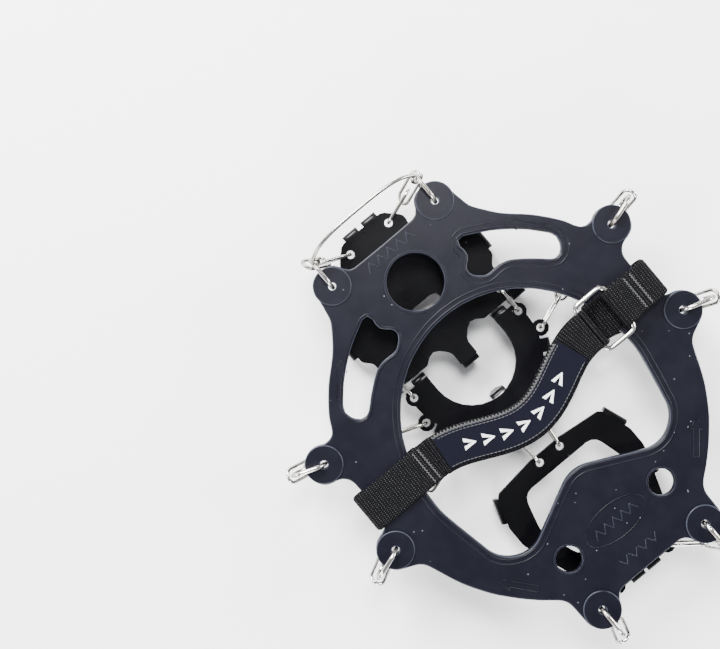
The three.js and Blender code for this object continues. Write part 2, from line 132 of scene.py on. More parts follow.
lamp("key", UP * 0.75 - RIGHT * 0.55 + Vector((0, 0, 0.62)), 0.5, 41)
lamp("sheen", UP * 0.44 - RIGHT * 0.06 + Vector((0, 0, 0.84)), 0.34, 12, UP * 0.07)
lamp("rim", RIGHT * 0.95 + UP * 0.3 + Vector((0, 0, 0.5)), 0.45, 17)
lamp("low_front", -UP * 1.0 + Vector((0, 0, 0.5)), 0.5, 16)
lamp("low_left", -RIGHT * 1.0 - UP * 0.2 + Vector((0, 0, 0.5)), 0.45, 12)

world = bpy.data.worlds.new("studio")
world.use_nodes = True
world.node_tree.nodes["Background"].inputs["Color"].default_value = (0.93, 0.95, 1, 1)
world.node_tree.nodes["Background"].inputs["Strength"].default_value = 0.5
bpy.context.scene.world = world

floor_mesh = bpy.data.meshes.new("floor")
FLOOR = 3
floor_mesh.from_pydata(
    [(-FLOOR, -FLOOR, 0), (FLOOR, -FLOOR, 0), (FLOOR, FLOOR, 0), (-FLOOR, FLOOR, 0)],
    [], [(0, 1, 2, 3)])
floor = bpy.data.objects.new("floor", floor_mesh)
bpy.context.scene.collection.objects.link(floor)
print("floor and lamps ready")

# %% [markdown]
# Node trees are built in code, so a small helper adds one node at a time. It sets
# the node's options and either fills an input with a value or wires it.

# %% Node helpers


def add(tree, kind, inputs=None, **options):
    made = tree.nodes.new(kind)
    for key, value in options.items():
        setattr(made, key, value)
    for key, value in (inputs or {}).items():
        if isinstance(value, bpy.types.NodeSocket):
            tree.links.new(value, made.inputs[key])
        else:
            made.inputs[key].default_value = value
    return made


def math_of(tree, operation, a, b=0.0, c=0.0):
    return add(tree, "ShaderNodeMath", {0: a, 1: b, 2: c}, operation=operation).outputs[0]


def smooth_range(tree, value, low, high, first=0.0, last=1.0):
    kind = "ShaderNodeMapRange"
    span = {"Value": value, "From Min": low, "From Max": high, "To Min": first, "To Max": last}
    return add(tree, kind, span, interpolation_type="SMOOTHSTEP").outputs["Result"]


def new_tree(name, kind, inputs, outputs):
    tree = bpy.data.node_groups.new(name, kind)
    for label, socket in outputs:
        tree.interface.new_socket(label, in_out="OUTPUT", socket_type="NodeSocket" + socket)
    for label, socket, *start in inputs:
        made = tree.interface.new_socket(label, in_out="INPUT", socket_type="NodeSocket" + socket)
        if start:
            made.default_value = start[0]
    entry = tree.nodes.new("NodeGroupInput")
    leave = tree.nodes.new("NodeGroupOutput")
    return tree, entry.outputs, leave.inputs


# %% [markdown]
# Real surfaces are never one flat colour. Four shared shader groups hold the
# effects that several finishes use: a fine grain, pale specks of dust, a mask of
# the rounded edges, which gives worn metal on the plates and a painted highlight on
# the rubber, and the rows of thread in a woven band, with a mask for the painted
# highlight on each thread crest.

# %% Shader group: grain


def make_grain():
    tree, given, out = new_tree(
        "grain", "ShaderNodeTree", [("Scale", "Float", 900.0), ("Detail", "Float", 4.0)],
        [("Height", "Float"), ("Cloud", "Float")])
    place = add(tree, "ShaderNodeTexCoord").outputs["Object"]
    fine = add(tree, "ShaderNodeTexNoise",
               {"Vector": place, "Scale": given["Scale"], "Detail": given["Detail"]})
    slow = math_of(tree, "MULTIPLY", given["Scale"], 0.045)
    cloud = add(tree, "ShaderNodeTexNoise", {"Vector": place, "Scale": slow, "Detail": 3.0})
    tree.links.new(fine.outputs[0], out["Height"])
    tree.links.new(cloud.outputs[0], out["Cloud"])
    return tree


GRAIN = make_grain()
print("group", GRAIN.name)

# %% Shader group: specks of dust


def make_specks():
    tree, given, out = new_tree(
        "specks", "ShaderNodeTree",
        [("Scale", "Float", 300.0), ("Size", "Float", 0.12), ("Share", "Float", 0.2)],
        [("Mask", "Float")])
    place = add(tree, "ShaderNodeTexCoord").outputs["Object"]
    cells = add(tree, "ShaderNodeTexVoronoi", {"Vector": place, "Scale": given["Scale"]})
    near = math_of(tree, "LESS_THAN", cells.outputs["Distance"], given["Size"])
    pick = add(tree, "ShaderNodeSeparateColor", {"Color": cells.outputs["Color"]})
    chosen = math_of(tree, "LESS_THAN", pick.outputs[0], given["Share"])
    tree.links.new(math_of(tree, "MULTIPLY", near, chosen), out["Mask"])
    return tree


SPECKS = make_specks()
print("group", SPECKS.name)

# %% Shader group: edge wear and painted edge highlight


def make_edge_wear_and_highlight():
    tree, given, out = new_tree(
        "edge_wear_and_highlight", "ShaderNodeTree", [("Breakup", "Float", 700.0), ("Cover", "Float", 0.5)],
        [("Mask", "Float")])
    edge = add(tree, "ShaderNodeAttribute", attribute_name="edge").outputs["Fac"]
    place = add(tree, "ShaderNodeTexCoord").outputs["Object"]
    noise = add(tree, "ShaderNodeTexNoise", {"Vector": place, "Scale": given["Breakup"]})
    lowest = math_of(tree, "SUBTRACT", 0.75, given["Cover"])
    patchy = smooth_range(tree, noise.outputs[0], lowest, math_of(tree, "ADD", lowest, 0.3))
    # This edge mask gives worn bare metal on the plates and a painted highlight on the rubber's rounded
    # edges.
    tree.links.new(math_of(tree, "MULTIPLY", edge, patchy), out["Mask"])
    return tree


EDGE_WEAR_AND_HIGHLIGHT = make_edge_wear_and_highlight()
print("group", EDGE_WEAR_AND_HIGHLIGHT.name)

# %% Shader group: rows of thread


def make_threads():
    tree, given, out = new_tree(
        "thread_rows", "ShaderNodeTree",
        [("Row", "Float", 1.3 * MM), ("Thread", "Float", 0.9 * MM)],
        [("Height", "Float"), ("Light", "Float")])
    along = add(tree, "ShaderNodeAttribute", attribute_name="along").outputs["Fac"]
    across = add(tree, "ShaderNodeAttribute", attribute_name="across").outputs["Fac"]
    rows = math_of(tree, "DIVIDE", along, given["Row"])
    wave = math_of(tree, "ABSOLUTE", math_of(tree, "SINE", math_of(tree, "MULTIPLY", rows, math.pi)))
    odd = math_of(tree, "MODULO", math_of(tree, "FLOOR", rows), 2.0)
    shifted = math_of(tree, "MULTIPLY_ADD", odd, 0.5, math_of(tree, "DIVIDE", across, given["Thread"]))
    turn = math_of(tree, "SINE", math_of(tree, "MULTIPLY", shifted, math.tau))
    bump = math_of(tree, "MULTIPLY_ADD", turn, 0.5, 0.5)
    height = math_of(tree, "MULTIPLY", math_of(tree, "POWER", wave, 0.7), bump)
    tree.links.new(height, out["Height"])
    # Light is the mask of the painted highlight on each thread crest.
    tree.links.new(smooth_range(tree, height, 0.74, 1.0), out["Light"])
    return tree


THREADS = make_threads()
print("group", THREADS.name)

# %% [markdown]
# Each finish is a Principled shader of its own. Colours are mixed by the masks that
# the groups put out, and plain numbers are set on the shader itself.

# %% Material helpers


def start_material(name, colour, roughness, metallic=0.0, **plain):
    made = bpy.data.materials.new(name)
    made.use_nodes = True
    shader = made.node_tree.nodes["Principled BSDF"]
    shader.inputs["Base Color"].default_value = (*colour, 1)
    shader.inputs["Roughness"].default_value = roughness
    shader.inputs["Metallic"].default_value = metallic
    for key, value in plain.items():
        shader.inputs[key.replace("_", " ")].default_value = value
    return made, made.node_tree, shader


def group(tree, shared, **values):
    made = add(tree, "ShaderNodeGroup", node_tree=shared)
    for key, value in values.items():
        made.inputs[key].default_value = value
    return made.outputs


def mixed(tree, mask, first, second):
    """A colour between two colours or colour sockets, by a mask."""
    pair = [c if isinstance(c, bpy.types.NodeSocket) else (*c, 1) for c in (first, second)]
    kind = "ShaderNodeMix"
    node = add(tree, kind, {0: mask, 6: pair[0], 7: pair[1]}, data_type="RGBA")
    return node.outputs[2]


def set_bump(tree, shader, height, depth, strength=1.0):
    bump = add(tree, "ShaderNodeBump", {"Height": height, "Distance": depth, "Strength": strength})
    tree.links.new(bump.outputs[0], shader.inputs["Normal"])


# %% [markdown]
# The harness is a moulded elastomer: near black with a blue cast, and satin. A
# painted highlight makes its rounded moulded edges paler. Handling leaves tiny pale
# specks on it.

# %% Material: rubber


def make_rubber(name="rubber", base=(0.0032, 0.0032, 0.0066), rough=0.36):
    made, tree, shader = start_material(name, base, rough, Specular_IOR_Level=0.15)
    grain = group(tree, GRAIN, Scale=2600.0, Detail=3.0)
    specks = group(tree, SPECKS, Scale=330.0, Size=0.09, Share=0.16)
    edges = group(tree, EDGE_WEAR_AND_HIGHLIGHT, Breakup=300.0, Cover=0.6)
    pale = tuple(c * 1.15 + 0.0005 for c in base)
    cloudy = mixed(tree, smooth_range(tree, grain["Cloud"], 0.35, 0.68), base, pale)
    # Painted highlight: the rounded edges are mixed towards a pale blue-grey.
    painted_rim_highlight = mixed(tree, math_of(tree, "MULTIPLY", edges["Mask"], 0.6), cloudy, (0.04, 0.045, 0.062))
    dusted = mixed(tree, math_of(tree, "MULTIPLY", specks["Mask"], 0.5), painted_rim_highlight, (0.25, 0.26, 0.28))
    tree.links.new(dusted, shader.inputs["Base Color"])
    uneven = smooth_range(tree, grain["Cloud"], 0.25, 0.75, rough - 0.02, rough + 0.02)
    tree.links.new(uneven, shader.inputs["Roughness"])
    set_bump(tree, shader, grain["Height"], 0.06 * MM, 0.55)
    return made


RUBBER = make_rubber()
print("material", RUBBER.name)

# %% [markdown]
# Chain, rings, bail and buckle are polished stainless wire. It mirrors the studio,
# with faint drawing lines and duller patches where the links rub.

# %% Material: polished wire


def make_wire_steel():
    made, tree, shader = start_material("steel_wire", (0.55, 0.54, 0.52), 0.15, 1.0)
    grain = group(tree, GRAIN, Scale=1500.0, Detail=5.0)
    tint = smooth_range(tree, grain["Cloud"], 0.35, 0.7)
    colour = mixed(tree, tint, (0.62, 0.61, 0.59), (0.30, 0.28, 0.25))
    tree.links.new(colour, shader.inputs["Base Color"])
    rubbed = smooth_range(tree, grain["Cloud"], 0.3, 0.72, 0.10, 0.30)
    tree.links.new(rubbed, shader.inputs["Roughness"])
    set_bump(tree, shader, grain["Height"], 0.05 * MM, 0.35)
    return made


WIRE = make_wire_steel()
print("material", WIRE.name)

# %% [markdown]
# The plates are pressed steel under a glossy black coat. The coat thins on bends
# and spike edges, where a grey gleam of metal shows, and it holds a little dust.

# %% Material: black coated steel


def make_coated_steel():
    made, tree, shader = start_material(
        "black_steel", (0.002, 0.002, 0.0025), 0.24, 0.0,
        Specular_IOR_Level=0.06, Coat_Weight=0.13, Coat_Roughness=0.06)
    grain = group(tree, GRAIN, Scale=1100.0, Detail=4.0)
    edges = group(tree, EDGE_WEAR_AND_HIGHLIGHT, Breakup=420.0, Cover=0.38)
    specks = group(tree, SPECKS, Scale=260.0, Size=0.08, Share=0.14)
    cloudy = mixed(tree, grain["Cloud"], (0.0014, 0.0014, 0.0018), (0.0034, 0.0034, 0.0044))
    worn = mixed(tree, edges["Mask"], cloudy, (0.34, 0.34, 0.35))
    dusted = mixed(tree, math_of(tree, "MULTIPLY", specks["Mask"], 0.4), worn, (0.3, 0.3, 0.3))
    tree.links.new(dusted, shader.inputs["Base Color"])
    tree.links.new(math_of(tree, "MULTIPLY", edges["Mask"], 0.9), shader.inputs["Metallic"])
    uneven = smooth_range(tree, grain["Cloud"], 0.3, 0.7, 0.22, 0.4)
    tree.links.new(uneven, shader.inputs["Roughness"])
    set_bump(tree, shader, grain["Height"], 0.08 * MM, 0.35)
    return made


COATED = make_coated_steel()
print("material", COATED.name)

# %% [markdown]
# Webbing is coarse black yarn. A painted highlight lightens the crest of each
# yarn, the gaps between rows keep the dark base colour, and the same recipe in navy
# makes the woven label.

# %% Materials: webbing, label and sewing thread


def make_woven(name, base, crest_highlight, row, thread, depth):
    made, tree, shader = start_material(name, base, 0.8, 0.0, Specular_IOR_Level=0.05)
    rows = group(tree, THREADS, Row=row, Thread=thread)
    grain = group(tree, GRAIN, Scale=3200.0, Detail=3.0)
    fibres = smooth_range(tree, grain["Height"], 0.3, 0.7)
    # Painted highlight: the colour is mixed towards a paler one on the crest of each thread.
    lit = math_of(tree, "MULTIPLY", rows["Light"], fibres)
    shade = mixed(tree, lit, base, crest_highlight)
    faded = tuple(c * 1.7 for c in base)
    worn = mixed(tree, math_of(tree, "MULTIPLY", grain["Cloud"], 0.3), shade, faded)
    tree.links.new(worn, shader.inputs["Base Color"])
    tree.links.new(smooth_range(tree, rows["Height"], 0.0, 1.0, 0.95, 0.62), shader.inputs["Roughness"])
    set_bump(tree, shader, rows["Height"], depth, 0.9)
    return made


WEBBING = make_woven("webbing", (0.0028, 0.0028, 0.0032), (0.10, 0.10, 0.105),
                     row=1.3 * MM, thread=0.95 * MM, depth=0.3 * MM)
LABEL = make_woven("label_cloth", (0.0035, 0.0036, 0.0075), (0.0075, 0.0076, 0.0145),
                   row=0.5 * MM, thread=0.45 * MM, depth=0.08 * MM)


def make_thread(name, colour, pale):
    made, tree, shader = start_material(name, colour, 0.6, 0.0, Sheen_Weight=0.2)
    grain = group(tree, GRAIN, Scale=4000.0, Detail=2.0)
    tree.links.new(mixed(tree, grain["Height"], colour, pale), shader.inputs["Base Color"])
    set_bump(tree, shader, grain["Height"], 0.05 * MM, 0.8)
    return made


DARK_THREAD = make_thread("dark_thread", (0.012, 0.012, 0.013), (0.07, 0.07, 0.073))
PALE_THREAD = make_thread("pale_thread", (0.62, 0.63, 0.62), (0.84, 0.85, 0.84))
FLOOR_COAT, *_ = start_material("floor_coat", (1.0, 1.0, 1.0), 0.9, Specular_IOR_Level=0.0)
floor_mesh.materials.append(FLOOR_COAT)
print("materials", len(bpy.data.materials))

# %% [markdown]
# Every finished mesh goes through one function.

# %% Handing over a piece


def piece(name, mesh, material, body, stands_for=()):
    mesh.name = name
    if not mesh.materials:
        mesh.materials.append(material)
    made = bpy.data.objects.new(name, mesh)
    bpy.context.scene.collection.objects.link(made)
    if body:
        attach(made, body)
    if stands_for:
        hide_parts(*stands_for)
    print(name, len(mesh.polygons), "faces on", body or "two bodies")
    return made


LEVEL = 0.999


def mark_edges(mesh, is_edge):
    """Stores 1 on the faces that round an edge, for the edge wear and painted highlight group."""
    mark = mesh.attributes.new("edge", "FLOAT", "FACE")
    mark.data.foreach_set("value", [float(is_edge(face)) for face in mesh.polygons])
    return mesh


def smoothed(mesh):
    """Smooth shading, with level faces left flat so that they stay crisp."""
    for face in mesh.polygons:
        face.use_smooth = abs(face.normal.z) < LEVEL
    return mark_edges(mesh, lambda face: 0.2 < abs(face.normal.z) < 0.98)


def from_bmesh(bm):
    bmesh.ops.recalc_face_normals(bm, faces=bm.faces)
    mesh = bpy.data.meshes.new("mesh")
    bm.to_mesh(mesh)
    bm.free()
    return mesh


def evaluated(source):
    bpy.context.view_layer.update()
    graph = bpy.context.evaluated_depsgraph_get()
    return bpy.data.meshes.new_from_object(source.evaluated_get(graph))


def held(data, name="holder"):
    """An object in the scene that holds some data for a while."""
    holder = bpy.data.objects.new(name, data)
    bpy.context.scene.collection.objects.link(holder)
    return holder


def smooth_sides(mesh):
    """Smooth shading on the four-sided faces. The end caps stay flat."""
    for face in mesh.polygons:
        face.use_smooth = len(face.vertices) == 4
    return mesh


def baked(curve):
    """The plain mesh of a curve."""
    holder = held(curve)
    mesh = evaluated(holder)
    bpy.data.objects.remove(holder)
    return mesh


# %% [markdown]
# The harness is cut from flat rubber with rounded edges. A level cut through the
# CAD solid gives its outlines. Each outline becomes one closed spline of a flat
# curve, which Blender fills, thickens and rounds in one step, holes and all.

# %% Outlines of a CAD solid at one height


def section_loops(node, z):
    bm = bmesh.new()
    bm.from_mesh(nodes[node].data)
    bmesh.ops.remove_doubles(bm, verts=bm.verts, dist=1e-6)
    geometry = bm.verts[:] + bm.edges[:] + bm.faces[:]
    cut = bmesh.ops.bisect_plane(bm, geom=geometry, plane_co=(0, 0, z), plane_no=(0, 0, 1))
    edges = {e for e in cut["geom_cut"] if isinstance(e, bmesh.types.BMEdge)}
    loops = []
    while edges:
        edge = edges.pop()
        first, here = edge.verts
        loop = [first.co.xy, here.co.xy]
        while here is not first:
            edge = next(e for e in here.link_edges if e in edges)
            edges.remove(edge)
            here = edge.other_vert(here)
            loop.append(here.co.xy)
        loops.append([p.copy() for p in loop[:-1]])
    bm.free()
    return sorted(loops, key=lambda loop: -abs(signed_area(loop)))


def signed_area(loop):
    return sum(a.x * b.y - b.x * a.y for a, b in zip(loop, loop[1:] + loop[:1])) / 2


print("outlines found", len(section_loops("harness", HARNESS_MID + 1 * MM)))

# %% Rounding a coarse outline
SHARP_TURN = math.radians(32)
SAME_POINT = 0.05 * MM


def corner_turns(points):
    turns = []
    for i, here in enumerate(points):
        back = here - points[i - 1]
        ahead = points[(i + 1) % len(points)] - here
        turns.append(abs(back.angle_signed(ahead)))
    return turns


def refined(loop, pieces=4):
    """The same outline with curved spans between its gentle corners."""
    points = [p for i, p in enumerate(loop) if (p - loop[i - 1]).length > SAME_POINT]
    straight = math.radians(0.25)
    points = [p for p, turn in zip(points, corner_turns(points)) if turn > straight]
    turns = corner_turns(points)
    fine = []
    for i, here in enumerate(points):
        after = points[(i + 1) % len(points)]
        before, beyond = points[i - 1], points[(i + 2) % len(points)]
        span = (after - here).length
        start = (after - before).normalized() if turns[i] < SHARP_TURN else (after - here).normalized()
        last = turns[(i + 1) % len(points)] < SHARP_TURN
        end = (beyond - here).normalized() if last else (after - here).normalized()
        for k in range(pieces):
            t = k / pieces
            curve = here * (1 - t) ** 3 + after * t ** 3
            curve = curve + 3 * (here + start * span / 3) * t * (1 - t) ** 2
            fine.append(curve + 3 * (after - end * span / 3) * t * t * (1 - t))
    return fine


# %% A filled, rounded slab from outlines


def slab(loops, low, high, bevel, steps=3):
    data = bpy.data.curves.new("outline", "CURVE")
    data.dimensions = "2D"
    data.fill_mode = "BOTH"
    data.extrude = (high - low) / 2 - bevel
    data.bevel_depth = bevel
    data.bevel_resolution = steps
    data.offset = -bevel
    for i, loop in enumerate(loops):
        outer = i == 0
        points = loop if (signed_area(loop) > 0) == outer else loop[::-1]
        spline = data.splines.new("POLY")
        spline.points.add(len(points) - 1)
        for target, p in zip(spline.points, points):
            target.co = (p.x, p.y, 0, 1)
        spline.use_cyclic_u = True
    bm = bmesh.new()
    bm.from_mesh(baked(data))
    bmesh.ops.translate(bm, verts=bm.verts, vec=(0, 0, (low + high) / 2))
    bmesh.ops.remove_doubles(bm, verts=bm.verts, dist=0.01 * MM)
    return smoothed(from_bmesh(bm))


# %% The rubber body
harness_loops = [refined(loop) for loop in section_loops("harness", HARNESS_MID + 1 * MM)]
harness_mesh = slab(harness_loops, HARNESS_MID - RUBBER_HALF, TOP, 0.7 * MM)
piece("rubber_harness", harness_mesh, RUBBER, "harness", ["harness"])

# %% [markdown]
# Round details, such as the eyelet bosses and the rims of the holes, are turned
# shapes: a profile of radius and height is carried round a centre.

# %% Turned shapes


def turned(parts, segments=56):
    """One mesh of closed turned rings. Each part is a centre and a profile."""
    bm = bmesh.new()
    for centre, profile in parts:
        rings = []
        for k in range(segments):
            turn = math.tau * k / segments
            out = Vector((math.cos(turn), math.sin(turn), 0))
            rings.append([bm.verts.new(centre + out * r + Vector((0, 0, z))) for r, z in profile])
        for k in range(segments):
            near, far = rings[k], rings[(k + 1) % segments]
            for i in range(len(profile)):
                j = (i + 1) % len(profile)
                bm.faces.new((near[i], far[i], far[j], near[j]))
    return smoothed(from_bmesh(bm))


BOSS_R, BOSS_HALF, EYELET_R = 8.75 * MM, 2.5 * MM, 1.75 * MM
ROUND = 0.45 * MM


def boss_profile():
    """Half of the profile runs over the top; the other half mirrors it below."""
    rim = BOSS_R - ROUND
    top = [
        (EYELET_R, BOSS_HALF - ROUND), (EYELET_R + 0.13 * MM, BOSS_HALF - 0.13 * MM),
        (EYELET_R + ROUND, BOSS_HALF), (rim, BOSS_HALF),
        (BOSS_R - 0.13 * MM, BOSS_HALF - 0.13 * MM), (BOSS_R, BOSS_HALF - ROUND),
    ]
    return top + [(r, -z) for r, z in reversed(top)]


boss_centres = [Vector(joints[f"ring_{p}_{s}_tilt"]["pos_m"]) for p in PLACES for s in SIDES]
piece("eyelet_bosses", turned([(c, boss_profile()) for c in boss_centres]), RUBBER, "harness")

# %% [markdown]
# The toe hole and the two heel holes have a raised lip. A bead of rubber also runs
# round the large window, which keeps the edge from tearing when it is stretched.

# %% Lips of the round holes


def lip_profile(radius, width, height):
    sunk = -0.4 * MM
    soft = height * 0.35
    return [
        (radius, sunk), (radius, height - soft), (radius + soft * 0.4, height - soft * 0.25),
        (radius + soft, height), (radius + width - soft, height),
        (radius + width - soft * 0.3, height - soft * 0.5), (radius + width, sunk),
    ]


def top_at(x, y):
    return Vector((at(x, y, 0).x, at(x, y, 0).y, TOP))


lips = [(top_at(0, 72), lip_profile(13.15 * MM, 1.1 * MM, 0.42 * MM))]
lips += [(top_at(x, -67.6), lip_profile(6.1 * MM, 0.9 * MM, 0.4 * MM)) for x in (27, -27)]
piece("hole_lips", turned(lips), RUBBER, "harness")

# %% Bead round the windows and slots


def bead_mesh(loops, inset, radius, lift):
    """A closed bead that follows each outline, a little way in from the edge."""
    data = bpy.data.curves.new("bead", "CURVE")
    data.dimensions = "3D"
    data.bevel_depth = radius
    data.bevel_resolution = 2
    for loop in loops:
        grow = inset if signed_area(loop) > 0 else -inset
        spline = data.splines.new("POLY")
        spline.points.add(len(loop) - 1)
        for i, target in enumerate(spline.points):
            ahead = loop[(i + 1) % len(loop)] - loop[i - 1]
            out = Vector((ahead.y, -ahead.x)).normalized() * grow
            target.co = (loop[i].x + out.x, loop[i].y + out.y, TOP + lift, 1)
        spline.use_cyclic_u = True
    mesh = baked(data)
    for face in mesh.polygons:
        face.use_smooth = True
    return mesh


WINDOWS_AND_SLOTS, WINDOWS = slice(1, 4), slice(1, 3)
beads = bead_mesh(harness_loops[WINDOWS_AND_SLOTS], 1.15 * MM, 0.5 * MM, -0.17 * MM)
piece("window_beads", beads, RUBBER, "harness")

step_bead = bead_mesh(harness_loops[WINDOWS], 3.4 * MM, 0.45 * MM, -0.2 * MM)
piece("window_steps", step_bead, RUBBER, "harness")

# %% [markdown]
# Moulded marks stand a few tenths of a millimetre proud of the rubber. An oval line,
# chevrons and outline arrows take the place of any lettering.

# %% Raised marks on the rubber
MARK_HIGH = 0.3 * MM


def oval(x, y, wide, tall, count=48):
    turns = [math.tau * k / count for k in range(count)]
    centre = top_at(x, y).xy
    return [centre + Vector((math.cos(t) * wide, math.sin(t) * tall)) * MM / 2 for t in turns]


def turned_about(points, x, y, degrees):
    turn = Matrix.Rotation(math.radians(degrees), 2)
    centre = top_at(x, y).xy
    return [centre + turn @ (Vector(p) * MM) for p in points]


def arrow(x, y, degrees):
    """Outline of an arrow that points along its own +Y."""
    shaft, head, tail, neck, tip = 1.4, 2.9, -9, 3.4, 8.8
    half = [(shaft, tail), (shaft, neck), (head, neck)]
    return turned_about(half + [(0, tip)] + [(-px, py) for px, py in reversed(half)], x, y, degrees)


def chevron(x, y, degrees, size=4.6, thick=0.8):
    half = [(0.01, size / 2), (size / 2, -size / 2 + thick), (size / 2, -size / 2)]
    low = [(-size / 2, -size / 2), (-size / 2, -size / 2 + thick)]
    return turned_about([*half, (0, size / 2 - thick * 1.4), *low], x, y, degrees)


def marks(outlines):
    bm = bmesh.new()
    for loops in outlines:
        mesh = slab(loops, TOP - 0.3 * MM, TOP + MARK_HIGH, 0.12 * MM, 1)
        bm.from_mesh(mesh)
        bpy.data.meshes.remove(mesh)
    return smoothed(from_bmesh(bm))


ARROWS = ((54, 60, 42), (52, -62, -40))
drawn = [oval(0, -67.5, 32.5, 15.5)]
drawn += [arrow(side * x, y, side * lean) for x, y, lean in ARROWS for side in SIDES.values()]
piece("moulded_lines", bead_mesh(drawn, 0, 0.27 * MM, 0.03 * MM), RUBBER, "harness")

outlines = []
for k in range(5):
    outlines.append([chevron((k - 2) * 5.4, 90, 0)])
    outlines.append([chevron((k - 2) * 4.8, -67.5, 0)])
for k in range(4):
    outlines.append([chevron((k - 1.5) * 5.4, -84.5, 180)])
piece("moulded_marks", marks(outlines), RUBBER, "harness")

# %% [markdown]
# The spiked plates are pressed from sheet steel, so their CAD shape is right. A
# copy is welded and its flat triangles joined, then a bevel rounds the cut edges:
# only a rounded edge catches the thin bright line that real sheet metal shows.

# %% Plates with rounded edges
EDGE_ROUND = 0.35 * MM


def rounded_plate(node):
    bm = bmesh.new()
    bm.from_mesh(nodes[node].data)
    bmesh.ops.remove_doubles(bm, verts=bm.verts, dist=0.002 * MM)
    bmesh.ops.dissolve_limit(bm, angle_limit=math.radians(1), verts=bm.verts, edges=bm.edges)
    mesh = from_bmesh(bm)
    holder = held(mesh)
    bevel = holder.modifiers.new("edges", "BEVEL")
    bevel.width = EDGE_ROUND
    bevel.segments = 2
    bevel.limit_method = "ANGLE"
    bevel.angle_limit = math.radians(35)
    bevel.use_clamp_overlap = True
    rounded = evaluated(holder)
    bpy.data.objects.remove(holder)
    edge_length = {}
    for edge in rounded.edges:
        a, b = edge.vertices
        edge_length[edge.key] = (rounded.vertices[a].co - rounded.vertices[b].co).length

    def narrow(face):
        around = sum(edge_length[key] for key in face.edge_keys)
        return 2 * face.area / around < EDGE_ROUND * 0.9

    for face in rounded.polygons:
        face.use_smooth = face.area < 12 * MM * MM
    return mark_edges(rounded, narrow)


for name in ("toe_plate", "ball_plate", "heel_plate"):
    piece(f"{name}_steel", rounded_plate(name), COATED, name, [name])

# %% [markdown]
# Rings, chain links and the buckle are all one thing: wire bent into a rectangle
# with round corners. One Geometry Nodes tree bends the wire, thickens it at its
# weld, and places a copy on each point of a small mesh, turned as that point says.

# %% Geometry Nodes: wire loops


def make_wire_loops():
    floats = (("Width", 8.0 * MM), ("Length", 20.0 * MM), ("Corner", 4.0 * MM), ("Wire", 1.0 * MM))
    inputs = [("Geometry", "Geometry")] + [(label, "Float", value) for label, value in floats]
    inputs += [("Weld", "Float", 0.12), ("Material", "Material")]
    tree, given, out = new_tree("wire_loops", "GeometryNodeTree", inputs, [("Geometry", "Geometry")])
    frame_line = add(tree, "GeometryNodeCurvePrimitiveQuadrilateral",
                     {"Width": given["Width"], "Height": given["Length"]})
    bent = add(tree, "GeometryNodeFilletCurve",
               {"Curve": frame_line.outputs[0], "Radius": given["Corner"], "Count": 10}, mode="POLY")
    bent.inputs["Limit Radius"].default_value = True
    even = add(tree, "GeometryNodeResampleCurve", {"Curve": bent.outputs[0], "Count": 60})
    factor = add(tree, "GeometryNodeSplineParameter").outputs["Factor"]
    from_weld = math_of(tree, "ABSOLUTE", math_of(tree, "SUBTRACT", factor, 0.32))
    bulge = smooth_range(tree, from_weld, 0.0, 0.03, 1.0, 0.0)
    size = math_of(tree, "MULTIPLY_ADD", bulge, given["Weld"], 1.0)
    fat = add(tree, "GeometryNodeSetCurveRadius", {"Curve": even.outputs[0], "Radius": size})
    section = add(tree, "GeometryNodeCurvePrimitiveCircle", {"Resolution": 12, "Radius": given["Wire"]})
    tube = add(tree, "GeometryNodeCurveToMesh",
               {"Curve": fat.outputs[0], "Profile Curve": section.outputs[0]})
    if "Scale" in tube.inputs:
        tree.links.new(size, tube.inputs["Scale"])
    turn = add(tree, "GeometryNodeInputNamedAttribute", {"Name": "turn"}, data_type="FLOAT_VECTOR")
    spin = add(tree, "FunctionNodeEulerToRotation", {0: turn.outputs[0]})
    copies = add(tree, "GeometryNodeInstanceOnPoints",
                 {"Points": given["Geometry"], "Instance": tube.outputs[0], "Rotation": spin.outputs[0]})
    real = add(tree, "GeometryNodeRealizeInstances", {0: copies.outputs[0]})
    smooth = add(tree, "GeometryNodeSetShadeSmooth", {0: real.outputs[0]})
    done = add(tree, "GeometryNodeSetMaterial",
               {"Geometry": smooth.outputs[0], "Material": given["Material"]})
    tree.links.new(done.outputs[0], out["Geometry"])
    return tree


WIRE_LOOPS = make_wire_loops()
print("tree", WIRE_LOOPS.name)

# %% Running a tree on a mesh


def grown(source, tree, **values):
    """The plain mesh that a Geometry Nodes tree makes from a source mesh."""
    holder = held(source)
    modifier = holder.modifiers.new(tree.name, "NODES")
    modifier.node_group = tree
    items = [i for i in tree.interface.items_tree if i.item_type == "SOCKET" and i.in_out == "INPUT"]
    sockets = {i.name: i.identifier for i in items}
    for key, value in values.items():
        modifier[sockets[key]] = value
    result = evaluated(holder)
    holder.modifiers.remove(modifier)
    bpy.data.objects.remove(holder)
    return result


# %% Reading a loop's place from its CAD node


def loop_frame(node):
    """Centre, turn and outer sizes (width, length, thickness) of a CAD wire loop."""
    co = np.array([v.co for v in nodes[node].data.vertices], float)
    _, axes = np.linalg.eigh(np.cov((co - co.mean(0)).T))
    _, wide, long = (Vector(axes[:, i]) for i in range(3))
    thin = wide.cross(long)
    turn = Matrix((wide, long, thin)).transposed()
    local = co @ np.array(turn)
    middle = turn @ Vector((local.min(0) + local.max(0)) / 2)
    return middle, turn.to_euler("XYZ"), local.max(0) - local.min(0)


